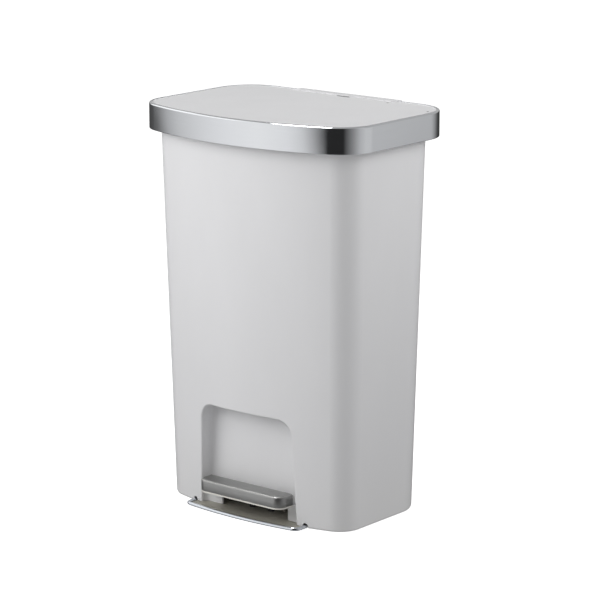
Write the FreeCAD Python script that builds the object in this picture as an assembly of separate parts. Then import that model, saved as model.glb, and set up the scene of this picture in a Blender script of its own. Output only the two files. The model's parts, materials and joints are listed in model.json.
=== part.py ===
import FreeCAD, Part

import math
import os

# A pedal trash can with a bowed front, a steel-edged lid, and a lever, rod and crank that lift the
# lid.  Millimetres.  +X is the width, -Y is the front, +Z is up and z = 0 is the floor.

Vec = FreeCAD.Vector

# Overall sizes
HEIGHT = 660.0
LID = dict(hw=221.0, yf=160.0, yb=149.0, sag=47.0, rf=64.0, rb=70.0)
BODY_LOW = dict(hw=188.0, yf=118.0, yb=121.0, sag=31.0, rf=40.0, rb=60.0)
BODY_HIGH = dict(hw=203.0, yf=141.0, yb=131.0, sag=42.0, rf=48.0, rb=62.0)
BODY_HIGH_Z = 617.0

# Outer body
WALL = 3.0
BODY_BOTTOM = 1.0
BODY_TOP = 632.0
FLOOR_UNDER = 56.0
FLOOR_TOP = 59.0
BACK_LEAN = math.degrees(math.atan((BODY_HIGH["yb"] - BODY_LOW["yb"]) / BODY_HIGH_Z))
BACK_INSIDE = BODY_LOW["yb"] - WALL
BACK_OUTSIDE = BODY_LOW["yb"]
BASE_BOSSES = [(120.0, 88.0), (165.0, 8.0), (128.0, -78.0)]

# Pedal recess
RECESS_TOP = 175.5
RECESS_HALF_LOW = 100.3
RECESS_HALF_HIGH = 92.8
RECESS_CORNER = 26.0
RECESS_BACK = -88.0
RECESS_LOW_BACK = -98.0
RECESS_LEDGE = 30.0
RECESS_INNER_RADIUS = 8.0
RECESS_EDGE_RADIUS = 2.5
LEVER_GAP = (-65.0, 74.0)

# Base plate, feet and floor bar
PLATE_LOW = 1.0
PLATE_HIGH = 3.0
PLATE_BOSS = 5.0
LIP_GAP = 1.2
LIP_SIDE_GAP = 0.7
LIP_CORNER = 7.0
FEET = [(150.0, 62.0), (150.0, -58.0)]
BAR_RADIUS = 3.0
BAR_HALF = 116.5
BAR_FRONT = 137.2
BAR_BOW = 746.0
BAR_CORNER = 10.0
BAR_Z = 3.5
BAR_LEG_Y = -90.0
BAR_LEG_BEND = 8.0
BAR_LEG_TOP = 21.0

# Lid
RIM_LOW = 617.0
STEEL = 0.8
RIM_FLANGE = 4.6
PANEL_TOP = 658.8
FRAME_LOW = 641.0
FRAME_HIGH = 644.0
COVER_HALF = 104.0
COVER_FRONT = 136.4
COVER_BACK = 160.0
COVER_LOW = 626.0
LID_SCREWS = [(150.0, -78.0), (168.0, 50.0), (58.0, -108.0), (58.0, 96.0)]
COVER_SCREWS = [-52.0, 52.0]

# Hinge, crank, rod and pedal lever
HINGE_Y = 147.0
HINGE_Z = 622.0
PIN_RADIUS = 3.0
RUNNING = 0.05
LID_OPEN = 78.0
CRANK_RADIUS = 30.0
CRANK_PIN_RADIUS = 2.5
CRANK_Y = HINGE_Y - CRANK_RADIUS * math.cos(math.radians(LID_OPEN / 2))
CRANK_Z = HINGE_Z - CRANK_RADIUS * math.sin(math.radians(LID_OPEN / 2))
ROD_Y = 110.0
ROD_RADIUS = 2.5
PIVOT_Y = -55.0
PIVOT_Z = 22.0
NOSE_Y = 111.0
NOSE_Z = 11.0
NOSE_RADIUS = 4.5
FOOT_GAP = 0.35

# Lid lock
LOCK_X = 168.0
LOCK_TRAVEL = 8.0


def box(x0, x1, y0, y1, z0, z1):
    return Part.makeBox(x1 - x0, y1 - y0, z1 - z0, Vec(x0, y0, z0))


def post(x, y, z0, z1, radius):
    return Part.makeCylinder(radius, z1 - z0, Vec(x, y, z0), Vec(0, 0, 1))


def bar_x(x0, x1, y, z, radius):
    return Part.makeCylinder(radius, x1 - x0, Vec(x0, y, z), Vec(1, 0, 0))


def bar_y(y0, y1, x, z, radius):
    return Part.makeCylinder(radius, y1 - y0, Vec(x, y0, z), Vec(0, 1, 0))


def plate_x(points, x0, x1):
    """A flat piece with a side view given as (y, z) points, from x0 to x1."""
    corners = [Vec(x0, y, z) for y, z in points]
    face = Part.Face(Part.makePolygon(corners + corners[:1]))
    return face.extrude(Vec(x1 - x0, 0, 0))


def plate_z(points, z0, z1):
    """A flat piece with a plan given as (x, y) points, from z0 to z1."""
    corners = [Vec(x, y, z0) for x, y in points]
    face = Part.Face(Part.makePolygon(corners + corners[:1]))
    return face.extrude(Vec(0, 0, z1 - z0))


def joined(shapes):
    whole = shapes[0].multiFuse(shapes[1:])
    return whole.removeSplitter()


def less(shape, cutters):
    return shape.cut(cutters)


def on_wall(shape):
    """Lean a piece that was drawn upright so that it follows the back wall."""
    leaning = shape.copy()
    leaning.rotate(Vec(0, BACK_INSIDE, 0), Vec(1, 0, 0), -BACK_LEAN)
    return leaning


def body_sizes(z):
    """Outline sizes of the tapered body at one height."""
    share = z / BODY_HIGH_Z
    return {key: BODY_LOW[key] + (BODY_HIGH[key] - BODY_LOW[key]) * share for key in BODY_LOW}


def outline(sizes, z, inset=0.0):
    """Closed outline: bowed front, straight sides and back, rounded corners."""
    hw = sizes["hw"]
    rf = sizes["rf"]
    rb = sizes["rb"]
    bow = (hw ** 2 + sizes["sag"] ** 2) / (2 * sizes["sag"])
    bow_y = bow - sizes["yf"]
    front_x = hw - rf
    front_y = bow_y - math.sqrt((bow - rf) ** 2 - front_x ** 2)
    back_x = hw - rb
    back_y = sizes["yb"] - rb
    side = hw - inset

    away = Vec(front_x, front_y - bow_y, 0)
    away.normalize()
    middle = away + Vec(1, 0, 0)
    middle.normalize()
    meet = Vec(0, bow_y, z) + away * (bow - inset)
    front_mid = Vec(front_x, front_y, z) + middle * (rf - inset)
    half = math.sqrt(0.5) * (rb - inset)
    right = [
        meet,
        front_mid,
        Vec(side, front_y, z),
        Vec(side, back_y, z),
        Vec(back_x + half, back_y + half, z),
        Vec(back_x, sizes["yb"] - inset, z),
    ]
    left = [Vec(-p.x, p.y, p.z) for p in right]
    nose = Vec(0, bow_y - bow + inset, z)
    edges = [
        Part.Arc(left[0], nose, right[0]).toShape(),
        Part.Arc(right[0], right[1], right[2]).toShape(),
        Part.makeLine(right[2], right[3]),
        Part.Arc(right[3], right[4], right[5]).toShape(),
        Part.makeLine(right[5], left[5]),
        Part.Arc(left[5], left[4], left[3]).toShape(),
        Part.makeLine(left[3], left[2]),
        Part.Arc(left[2], left[1], left[0]).toShape(),
    ]
    return Part.Wire(edges)


def slab(sizes, z0, z1, inset=0.0):
    return Part.Face(outline(sizes, z0, inset)).extrude(Vec(0, 0, z1 - z0))


def taper(z0, z1, inset0, inset1):
    """Solid with the body's outline between two heights."""
    low = outline(body_sizes(z0), z0, inset0)
    high = outline(body_sizes(z1), z1, inset1)
    return Part.makeLoft([low, high], True, True)


def edges_at(shape, test):
    return [edge for edge in shape.Edges if test(edge)]


def recess_block(extra, z0, y1):
    """A block pushed into the front of the body for the pedal, extra bigger all round."""
    top = RECESS_TOP + extra
    low = RECESS_HALF_LOW + extra
    high = RECESS_HALF_HIGH + extra
    slope = (low - high) / RECESS_TOP
    low_z0 = low - slope * z0
    corners = [Vec(-low_z0, -170, z0), Vec(low_z0, -170, z0), Vec(high, -170, top), Vec(-high, -170, top)]
    face = Part.Face(Part.makePolygon(corners + corners[:1]))
    block = face.extrude(Vec(0, 170 + y1, 0))
    upper = edges_at(block, lambda e: len(e.Vertexes) == 2 and all(abs(v.Z - top) < 0.01 for v in e.Vertexes)
                     and abs(e.Vertexes[0].X - e.Vertexes[1].X) < 0.01)
    block = block.makeFillet(RECESS_CORNER + extra, upper)
    rear = edges_at(block, lambda e: e.BoundBox.YMin > y1 - 0.01 and e.BoundBox.ZMax > z0 + 1)
    return block.makeFillet(RECESS_INNER_RADIUS + extra, rear)


def screw_up(x, y, z, head_radius, head_height, shank_radius, length):
    """A screw driven upwards, with the underside of its head at height z."""
    head = post(x, y, z - head_height, z, head_radius)
    shank = post(x, y, z, z + length, shank_radius)
    drive = post(x, y, z - head_height - 1, z - head_height + 0.8, head_radius * 0.35)
    return less(joined([head, shank]), [drive])


def screw_along_y(x, y, z, way, head_radius, head_height, shank_radius, length):
    """A screw driven along +Y (way 1) or -Y (way -1), with its head's seat at y."""
    driven = Vec(0, way, 0)
    seat = Vec(x, y, z)
    head = Part.makeCylinder(head_radius, head_height, seat - driven * head_height, driven)
    shank = Part.makeCylinder(shank_radius, length, seat, driven)
    drive = Part.makeCylinder(head_radius * 0.35, 1.8, seat - driven * (head_height + 1), driven)
    return less(joined([head, shank]), [drive])


def outer_body():
    block = joined([taper(BODY_BOTTOM, 4.0, 1.6, 0.0), taper(4.0, BODY_TOP, 0.0, 0.0)])
    recess = joined([recess_block(0.0, RECESS_LEDGE, RECESS_BACK), recess_block(0.0, -5.0, RECESS_LOW_BACK)])
    block = less(block, [recess])
    mouth = edges_at(block, lambda e: e.BoundBox.YMax < -109 and abs(e.BoundBox.Center.x) < 101
                     and e.BoundBox.ZMax < RECESS_TOP + 1 and e.BoundBox.ZMin > 3.5
                     and not isinstance(e.Curve, Part.Line))
    block = block.makeFillet(RECESS_EDGE_RADIUS, mouth)
    pocket = [recess_block(WALL, RECESS_LEDGE - WALL, RECESS_BACK + WALL),
              recess_block(WALL, PLATE_HIGH + 0.4, RECESS_LOW_BACK + WALL)]
    bosses = [post(side * x, y, PLATE_BOSS + 0.3, FLOOR_UNDER + 1, 6.0)
              for x, y in BASE_BOSSES for side in (-1, 1)]
    upper = less(taper(FLOOR_TOP, BODY_TOP + 1, WALL, WALL), pocket)
    sockets = [on_wall(bar_y(BACK_INSIDE - 8, BACK_INSIDE + 2.2, side * 25, z, 1.55))
               for side in (-1, 1) for z in (120, 480)]
    upper = upper.multiFuse(sockets)
    lower = less(taper(0.0, FLOOR_UNDER, WALL, WALL), pocket + bosses)
    body = less(block, [upper, lower])
    wall_bosses = [on_wall(bar_y(BACK_INSIDE - 7, BACK_INSIDE + 1, x, 590, 5.0)) for x in (-74, -40, 40, 74)]
    catch = joined([box(147.5, 154.5, 127.5, 140, 612.8, 615.3), box(149.5, 152.5, 127.5, 134, 614, 620)])
    body = joined([body, catch] + wall_bosses)
    lever_room = RECESS_BACK + WALL + 1
    cuts = [box(LEVER_GAP[0], LEVER_GAP[1], RECESS_LOW_BACK - 1, lever_room, 0, RECESS_LEDGE + 3.5)]
    cuts.append(plate_lip(0, PLATE_HIGH + 0.3, 0.5))
    cuts.append(box(-10, 10, 99, BACK_INSIDE + 0.5, FLOOR_UNDER - 1, FLOOR_TOP + 1))
    cuts.append(box(-14, 14, 122, 136, 575, BODY_TOP + 1))
    for side in (-1, 1):
        x = side * BAR_HALF
        cuts.append(bar_y(-125, -98, x, BAR_Z + 0.7, BAR_RADIUS + 2))
        cuts.append(box(x - BAR_RADIUS - 2, x + BAR_RADIUS + 2, -125, -98, -1, BAR_Z + 0.7))
        for bx, by in BASE_BOSSES:
            cuts.append(post(side * bx, by, PLATE_HIGH, 24, 1.85))
        for bx in (40, 74):
            cuts.append(on_wall(bar_y(BACK_INSIDE - 5, BACK_OUTSIDE + 1, side * bx, 590, 2.05)))
    return less(body, cuts)


def plate_lip(z0, z1, extra):
    """Front lip of the base plate, which fills the space inside the floor bar, extra bigger all round."""
    half = BAR_HALF - BAR_RADIUS - LIP_SIDE_GAP + extra
    front = BAR_BOW - BAR_RADIUS - LIP_GAP + extra
    lip = post(0, BAR_BOW - BAR_FRONT, z0, z1, front).common(box(-half, half, -150, -85, z0, z1))
    uprights = edges_at(lip, lambda e: e.BoundBox.YMax < -100 and e.BoundBox.XLength < 0.01)
    return lip.makeFillet(LIP_CORNER, uprights)


def base_plate():
    plate = slab(body_sizes(0), PLATE_LOW, PLATE_HIGH, WALL + 0.5)
    ears = []
    for side in (-1, 1):
        x0 = min(side * 35, side * 41)
        ears.append(box(x0, x0 + 6, PIVOT_Y - 9, PIVOT_Y + 9, PLATE_HIGH - 1, PIVOT_Z))
        ears.append(bar_x(x0, x0 + 6, PIVOT_Y, PIVOT_Z, 9))
        ears.append(box(min(side * 41, side * 56), max(side * 41, side * 56), PIVOT_Y - 2, PIVOT_Y + 2,
                        PLATE_HIGH - 1, 16))
    raised = [box(-170, 170, 30, 32.5, PLATE_HIGH - 1, PLATE_HIGH + 2)]
    raised += [post(side * x, y, PLATE_LOW, PLATE_BOSS, 6.5) for x, y in BASE_BOSSES for side in (-1, 1)]
    plate = joined([plate, plate_lip(PLATE_LOW, PLATE_HIGH, 0.0)] + ears + raised)
    cuts = [bar_x(-45, 45, PIVOT_Y, PIVOT_Z, PIN_RADIUS + 0.02)]
    for side in (-1, 1):
        x = side * BAR_HALF
        cuts.append(box(x - 3.6, x + 3.6, -140, BAR_LEG_Y + 3.6, 0, 8))
        for bx, by in BASE_BOSSES:
            cuts.append(post(side * bx, by, 0, 8, 2.2))
            cuts.append(post(side * bx, by, 0, PLATE_LOW + 1.7, 4.4))
        for fx, fy in FEET:
            cuts.append(post(side * fx, fy, 0, 8, 3.1))
    return less(plate, cuts)


def base_screws():
    screws = [screw_up(side * x, y, PLATE_LOW + 1.6, 4.0, 1.5, 1.8, 17.0)
              for x, y in BASE_BOSSES for side in (-1, 1)]
    return Part.makeCompound(screws)


def rubber_foot(x, y):
    pad = post(x, y, 0, PLATE_LOW - 0.05, 12.0)
    pad = pad.makeFillet(0.4, edges_at(pad, lambda e: abs(e.BoundBox.ZMax) < 0.01))
    stud = post(x, y, PLATE_LOW - 1, PLATE_HIGH + 2, 3.0)
    return joined([pad, stud])


def floor_bar():
    bow_y = BAR_BOW - BAR_FRONT
    front_x = BAR_HALF - BAR_CORNER
    front_y = bow_y - math.sqrt((BAR_BOW - BAR_CORNER) ** 2 - front_x ** 2)
    away = Vec(front_x, front_y - bow_y, 0)
    away.normalize()
    middle = away + Vec(1, 0, 0)
    middle.normalize()
    half = math.sqrt(0.5) * BAR_LEG_BEND
    right = [
        Vec(0, bow_y, BAR_Z) + away * BAR_BOW,
        Vec(front_x, front_y, BAR_Z) + middle * BAR_CORNER,
        Vec(BAR_HALF, front_y, BAR_Z),
        Vec(BAR_HALF, BAR_LEG_Y - BAR_LEG_BEND, BAR_Z),
        Vec(BAR_HALF, BAR_LEG_Y - BAR_LEG_BEND + half, BAR_Z + BAR_LEG_BEND - half),
        Vec(BAR_HALF, BAR_LEG_Y, BAR_Z + BAR_LEG_BEND),
        Vec(BAR_HALF, BAR_LEG_Y, BAR_LEG_TOP),
    ]
    left = [Vec(-p.x, p.y, p.z) for p in right]
    path = Part.Wire([
        Part.makeLine(left[6], left[5]),
        Part.Arc(left[5], left[4], left[3]).toShape(),
        Part.makeLine(left[3], left[2]),
        Part.Arc(left[2], left[1], left[0]).toShape(),
        Part.Arc(left[0], Vec(0, -BAR_FRONT, BAR_Z), right[0]).toShape(),
        Part.Arc(right[0], right[1], right[2]).toShape(),
        Part.makeLine(right[2], right[3]),
        Part.Arc(right[3], right[4], right[5]).toShape(),
        Part.makeLine(right[5], right[6]),
    ])
    ring = Part.Wire([Part.makeCircle(BAR_RADIUS, left[6], Vec(0, 0, 1))])
    return path.makePipeShell([ring], True, True)


def floor_bar_clip(side):
    x = side * BAR_HALF
    block = box(x - 5.2, x + 5.2, BAR_LEG_Y - 4.7, BAR_LEG_Y + 9, 12.5, 19)
    wings = box(x - 5.2, x + 5.2, BAR_LEG_Y + 4.5, BAR_LEG_Y + 9, PLATE_HIGH + 0.1, 13)
    return less(joined([block, wings]), [post(x, BAR_LEG_Y, 0, 30, BAR_RADIUS + 0.03)])


def hinge_ear(x0, x1):
    arm = [(131.8, 582), (137, 582), (150.3, 614.2), (HINGE_Y, HINGE_Z), (142, 628.8), (131.8, 617)]
    return [plate_x(arm, x0, x1), bar_x(x0, x1, HINGE_Y, HINGE_Z, 8.5)]


def hinge_bracket():
    plate = on_wall(box(-92, 92, BACK_OUTSIDE + 0.2, BACK_OUTSIDE + 3.2, 578, 614))
    solids = [plate]
    for x0, x1 in ((-92, -84), (-20, -12), (12, 20), (84, 92)):
        solids += hinge_ear(x0, x1)
    bracket = joined(solids)
    cuts = [bar_x(-100, 100, HINGE_Y, HINGE_Z, PIN_RADIUS + 0.02)]
    cuts.append(box(-11.5, 11.5, 128, 140, 597, 640))
    cuts.append(on_wall(box(-100, 100, 110, BACK_OUTSIDE + 0.2, 570, 640)))
    for x in (-74, -40, 40, 74):
        cuts.append(on_wall(bar_y(BACK_OUTSIDE - 1, BACK_OUTSIDE + 5, x, 590, 2.1)))
    return less(bracket, cuts)


def hinge_bracket_screws():
    screws = [on_wall(screw_along_y(x, BACK_OUTSIDE + 3.3, 590, -1, 4.5, 2.4, 2.0, 9.5))
              for x in (-74, -40, 40, 74)]
    return Part.makeCompound(screws)


def hinge_pin():
    shaft = bar_x(-94, 94, HINGE_Y, HINGE_Z, PIN_RADIUS)
    heads = [bar_x(92.4, 94.4, HINGE_Y, HINGE_Z, 4.6), bar_x(-94.4, -92.4, HINGE_Y, HINGE_Z, 4.6)]
    return joined([shaft] + heads)


def hinge_bush(side):
    x0 = min(side * 69.6, side * 83.5)
    bush = bar_x(x0, x0 + 13.9, HINGE_Y, HINGE_Z, 4.6)
    return less(bush, [bar_x(-100, 100, HINGE_Y, HINGE_Z, PIN_RADIUS + RUNNING)])


def rod_channel_cover():
    outside = box(-20, 20, BACK_INSIDE - 22, BACK_INSIDE - 0.2, FLOOR_TOP + 0.3, 628)
    flanges = box(-31, 31, BACK_INSIDE - 2.2, BACK_INSIDE - 0.2, FLOOR_TOP + 0.3, 570)
    inside = box(-18, 18, BACK_INSIDE - 20, BACK_INSIDE + 1, 50, 640)
    cover = less(joined([outside, flanges]), [inside])
    holes = [bar_y(BACK_INSIDE - 3, BACK_INSIDE, side * 25, z, 1.7) for side in (-1, 1) for z in (120, 480)]
    return on_wall(less(cover, holes))


def channel_screws():
    screws = [on_wall(screw_along_y(side * 25, BACK_INSIDE - 2.3, z, 1, 3.4, 1.8, 1.5, 4.3))
              for side in (-1, 1) for z in (120, 480)]
    return Part.makeCompound(screws)


def rod_guide(z0):
    block = box(-12, 12, ROD_Y - 6, BACK_INSIDE - 0.3, z0, z0 + 12)
    block = block.makeChamfer(2.0, edges_at(block, lambda e: abs(e.BoundBox.YMax - (ROD_Y - 6)) < 0.01
                                            and e.BoundBox.ZLength > 5))
    return on_wall(less(block, [post(0, ROD_Y, z0 - 1, z0 + 13, ROD_RADIUS + 0.06)]))


def push_rod():
    return on_wall(post(0, ROD_Y, 18.5, 597.0, ROD_RADIUS))


def rod_foot():
    low = NOSE_Z + NOSE_RADIUS + FOOT_GAP
    foot = joined([post(0, ROD_Y, low, low + 3, 7.0), post(0, ROD_Y, low, low + 7, 4.6)])
    return on_wall(less(foot, [post(0, ROD_Y, 18.4, 40, ROD_RADIUS + 0.03)]))


def rod_head():
    """Yoke with a long slot that the crank pin slides in."""
    z = CRANK_Z
    yoke = box(-3.5, 3.5, ROD_Y - 10.3, ROD_Y + 10.3, z - 6.6, z + 6.6)
    block = joined([yoke, post(0, ROD_Y, z - 19, z - 5, 4.8)])
    block = less(block, [box(-6, -3.5, 90, 130, z - 22, z + 10), box(3.5, 6, 90, 130, z - 22, z + 10)])
    reach = 4.5
    slot = [box(-5, 5, ROD_Y - reach, ROD_Y + reach, z - 3.3, z + 3.3)]
    slot.append(bar_x(-5, 5, ROD_Y - reach, z, 3.3))
    slot.append(bar_x(-5, 5, ROD_Y + reach, z, 3.3))
    return on_wall(less(block, slot + [post(0, ROD_Y, z - 30, 597.1, ROD_RADIUS + 0.03)]))


def pedal_plan(inset, z0, z1):
    """Plan of the pedal: nearly straight front with well rounded front corners."""
    half = 88.0 - inset
    solid = box(-half, half, -135.0 + inset, -100.0 - inset, z0, z1)
    uprights = edges_at(solid, lambda e: e.BoundBox.ZLength > 0.9 * (z1 - z0) and e.BoundBox.YMax < -120)
    solid = solid.makeFillet(17.0 - inset, uprights)
    rear = edges_at(solid, lambda e: e.BoundBox.ZLength > 0.9 * (z1 - z0) and e.BoundBox.YMin > -110
                    and e.BoundBox.YLength < 0.01)
    return solid.makeFillet(3.5 - inset, rear)


def pedal_cap():
    outside = pedal_plan(0.0, 33.0, 52.0)
    outside = outside.makeFillet(3.2, edges_at(outside, lambda e: e.BoundBox.ZMin > 51.9))
    return less(outside, [pedal_plan(1.2, 30.0, 50.8), box(-36, 36, -106, -98, 30, 41.5)])


def pedal_base():
    core = pedal_plan(1.4, 30.6, 50.6)
    skirt = pedal_plan(0.3, 30.4, 32.8)
    hollows = [box(-78, -38, -128, -107, 29, 46), box(38, 78, -128, -107, 29, 46)]
    hollows.append(box(-34.4, 34.4, -131.3, -98, 29, 40.5))
    holes = [post(x, -116, 29, 48, 1.65) for x in (-22, 22)]
    return less(joined([core, skirt]), hollows + holes)


def pedal_lever():
    side = [(-130, 40), (-96, 40), (-84, 25), (PIVOT_Y, 24), (105.5, 12.7),
            (105.5, 8.7), (PIVOT_Y, 20), (-87, 21), (-99, 36), (-130, 36)]
    plan = [(-34, -132), (34, -132), (34, -42), (13, -5), (11, 108), (-11, 108), (-13, -5), (-34, -42)]
    plate = plate_x(side, -40, 40).common(plate_z(plan, 0, 60))
    barrel = bar_x(-34.4, 34.4, PIVOT_Y, PIVOT_Z, 6.8)
    lever = joined([plate, barrel])
    cuts = [bar_x(-40, 40, PIVOT_Y, PIVOT_Z, 4.62)]
    cuts += [post(x, -116, 30, 45, 1.9) for x in (-22, 22)]
    return less(lever, cuts)


def pedal_screws():
    return Part.makeCompound([screw_up(x, -116, 35.9, 3.6, 1.8, 1.6, 11.0) for x in (-22, 22)])


def pedal_bush(side):
    x0 = min(side * 22, side * 34.6)
    bush = bar_x(x0, x0 + 12.6, PIVOT_Y, PIVOT_Z, 4.6)
    return less(bush, [bar_x(-50, 50, PIVOT_Y, PIVOT_Z, PIN_RADIUS + RUNNING)])


def pedal_axle():
    shaft = bar_x(-43, 43, PIVOT_Y, PIVOT_Z, PIN_RADIUS)
    return joined([shaft, bar_x(41.3, 43, PIVOT_Y, PIVOT_Z, 4.4), bar_x(-43, -41.3, PIVOT_Y, PIVOT_Z, 4.4)])


def lever_nose_pad():
    block = box(-12.5, 12.5, 97, NOSE_Y, NOSE_Z - 4.4, NOSE_Z + 4.4)
    nose = bar_x(-12.5, 12.5, NOSE_Y, NOSE_Z, NOSE_RADIUS)
    return less(joined([block, nose]), [box(-11.4, 11.4, 90, 105.8, 8.4, 13.5)])


def pedal_stop_pad(side):
    pad = post(side * 20.0, -75, PLATE_HIGH + 0.05, 15.0, 5.0)
    return pad.makeFillet(1.0, edges_at(pad, lambda e: e.BoundBox.ZMin > 14.9))


def lid_rim_band():
    outside = slab(LID, RIM_LOW, HEIGHT)
    outside = outside.makeFillet(3.2, edges_at(outside, lambda e: e.BoundBox.ZMin > HEIGHT - 0.01))
    inside = slab(LID, RIM_LOW - 1, HEIGHT - STEEL, STEEL)
    inside = inside.makeFillet(2.4, edges_at(inside, lambda e: e.BoundBox.ZMin > HEIGHT - STEEL - 0.01))
    mouth = slab(LID, HEIGHT - 5, HEIGHT + 1, RIM_FLANGE)
    gap = box(-COVER_HALF - 0.3, COVER_HALF + 0.3, 120, 170, RIM_LOW - 1, HEIGHT + 1)
    return less(outside, [inside, mouth, gap])


def lid_panel():
    outside = slab(LID, RIM_LOW + 1.5, PANEL_TOP, 1.3)
    outside = outside.makeFillet(2.6, edges_at(outside, lambda e: e.BoundBox.ZMin > PANEL_TOP - 0.01))
    inside = slab(LID, RIM_LOW, PANEL_TOP - 3.0, 3.9)
    lip = slab(LID, PANEL_TOP - 1, PANEL_TOP + 0.6, 5.1)
    lip = less(lip, [slab(LID, PANEL_TOP - 2, PANEL_TOP + 2, 7.4)])
    gap = box(-COVER_HALF - 0.4, COVER_HALF + 0.4, COVER_FRONT - 0.4, 170, RIM_LOW - 1, HEIGHT + 1)
    bosses = [post(side * x, y, FRAME_HIGH + 0.2, PANEL_TOP - 2, 5.0)
              for x, y in LID_SCREWS for side in (-1, 1)]
    panel = joined([less(outside, [inside]), lip] + bosses)
    cuts = [post(side * x, y, FRAME_HIGH - 1, 653, 1.75) for x, y in LID_SCREWS for side in (-1, 1)]
    cuts.append(post(100.6, 123.5, PANEL_TOP - 1.2, PANEL_TOP + 1, 1.95))
    cuts.append(post(204.0, 93.0, PANEL_TOP - 1.2, PANEL_TOP + 1, 1.95))
    return less(panel, [gap] + cuts)


def crank_web(x0, x1):
    lean = math.radians(LID_OPEN / 2)
    across = Vec(0, math.sin(lean), -math.cos(lean))
    pin = Vec(0, CRANK_Y, CRANK_Z)
    axis = Vec(0, HINGE_Y, HINGE_Z)
    corners = [pin - across * 5, pin + across * 5, axis + across * 7.5, axis + Vec(0, 7.5, 0),
               Vec(0, 154, FRAME_LOW + 1), Vec(0, 131, FRAME_LOW + 1), Vec(0, 133, 634)]
    web = plate_x([(p.y, p.z) for p in corners], x0, x1)
    return [web, bar_x(x0, x1, CRANK_Y, CRANK_Z, 5), bar_x(x0, x1, HINGE_Y, HINGE_Z, 7.5)]


def lock_shelf():
    """Slotted shelf under the frame that the lock slider hangs in."""
    shelf = box(151, 178, 133.5, 146, 625.5, 628)
    posts = [box(151, 153.5, 133.5, 146, 625.5, FRAME_LOW + 1),
             box(175.5, 178, 131, 146, 625.5, FRAME_LOW + 1)]
    whole = joined([shelf] + posts).common(slab(LID, 600, 660, 4.4))
    return less(whole, [box(LOCK_X - 5.5 - LOCK_TRAVEL, LOCK_X + 5.5, 136.9, 141.1, 620, 629)])


def lid_inner_frame():
    plate = slab(LID, FRAME_LOW, FRAME_HIGH, 6.0)
    tail = box(-99, 99, 125, 151, FRAME_LOW, FRAME_HIGH)
    rib = less(slab(LID, 633.5, FRAME_LOW + 1, 24.0), [slab(LID, 630, FRAME_LOW + 3, 26.5)])
    solids = [plate, tail, rib, lock_shelf()]
    for x0, x1 in ((-8.2, -4.2), (4.2, 8.2)):
        solids += crank_web(x0, x1)
    for x0, x1 in ((-83, -70), (70, 83)):
        solids.append(box(x0, x1, HINGE_Y - 7.5, HINGE_Y + 7.5, HINGE_Z, FRAME_LOW + 1))
        solids.append(bar_x(x0, x1, HINGE_Y, HINGE_Z, 7.5))
    for x in COVER_SCREWS:
        solids.append(box(x - 5, x + 5, 146.5, 151, FRAME_LOW, FRAME_HIGH + 8))
    frame = joined(solids)
    cuts = [bar_x(-10, 10, HINGE_Y, HINGE_Z, PIN_RADIUS + 0.4)]
    cuts += [bar_x(x0, x0 + 15, HINGE_Y, HINGE_Z, 4.62) for x0 in (-84, 69)]
    cuts.append(bar_x(-10, 10, CRANK_Y, CRANK_Z, CRANK_PIN_RADIUS + 0.02))
    cuts += [post(side * x, y, 630, 650, 2.0) for x, y in LID_SCREWS for side in (-1, 1)]
    cuts += [bar_y(140, 152, x, FRAME_HIGH + 4, 1.65) for x in COVER_SCREWS]
    for side in (-1, 1):
        x0 = min(side * 99, side * 104.9)
        cuts.append(box(x0, x0 + 5.9, COVER_FRONT - 0.5, 160, 630, 650))
    return less(frame, cuts)


def lid_screws():
    screws = [screw_up(side * x, y, FRAME_LOW - 0.1, 4.0, 1.8, 1.7, 10.5)
              for x, y in LID_SCREWS for side in (-1, 1)]
    return Part.makeCompound(screws)


def hinge_cover():
    outside = box(-COVER_HALF, COVER_HALF, COVER_FRONT, COVER_BACK, COVER_LOW, HEIGHT)
    rear = edges_at(outside, lambda e: e.BoundBox.YMin > COVER_BACK - 0.01
                    and e.BoundBox.ZMax > COVER_LOW + 1)
    outside = outside.makeFillet(5.0, rear)
    inside = box(-COVER_HALF + 3, COVER_HALF - 3, 130, COVER_BACK - 3, 600, HEIGHT - 3)
    inner_rear = edges_at(inside, lambda e: e.BoundBox.YMin > COVER_BACK - 3.01 and e.BoundBox.ZMax > 601)
    inside = inside.makeFillet(2.5, inner_rear)
    holes = [bar_y(150, 170, x, FRAME_HIGH + 4, 2.0) for x in COVER_SCREWS]
    bosses = [bar_y(151.3, COVER_BACK - 2, x, FRAME_HIGH + 4, 4.4) for x in COVER_SCREWS]
    return less(joined([less(outside, [inside])] + bosses), holes + [
        bar_y(COVER_BACK - 1.8, COVER_BACK + 1, x, FRAME_HIGH + 4, 3.7) for x in COVER_SCREWS])


def cover_screws():
    screws = [screw_along_y(x, COVER_BACK - 1.7, FRAME_HIGH + 4, -1, 3.4, 1.6, 1.6, 10.5)
              for x in COVER_SCREWS]
    return Part.makeCompound(screws)


def crank_pin():
    shaft = bar_x(-8.2, 8.2, CRANK_Y, CRANK_Z, CRANK_PIN_RADIUS)
    return joined([shaft, bar_x(8.4, 9.6, CRANK_Y, CRANK_Z, 3.8), bar_x(-9.6, -8.4, CRANK_Y, CRANK_Z, 3.8),
                   bar_x(8.0, 8.6, CRANK_Y, CRANK_Z, CRANK_PIN_RADIUS),
                   bar_x(-8.6, -8.0, CRANK_Y, CRANK_Z, CRANK_PIN_RADIUS)])


def lid_bumper(x, y):
    return post(x, y, BODY_TOP + 0.4, FRAME_LOW - 0.05, 3.4)


def lid_badge():
    pill = joined([box(-8, 14, 129, 133, PANEL_TOP + 0.05, PANEL_TOP + 0.5),
                   post(-8, 131, PANEL_TOP + 0.05, PANEL_TOP + 0.5, 2.0),
                   post(14, 131, PANEL_TOP + 0.05, PANEL_TOP + 0.5, 2.0)])
    return pill


def lid_plug(x, y):
    return post(x, y, PANEL_TOP - 1.1, PANEL_TOP + 0.3, 1.85)


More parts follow.
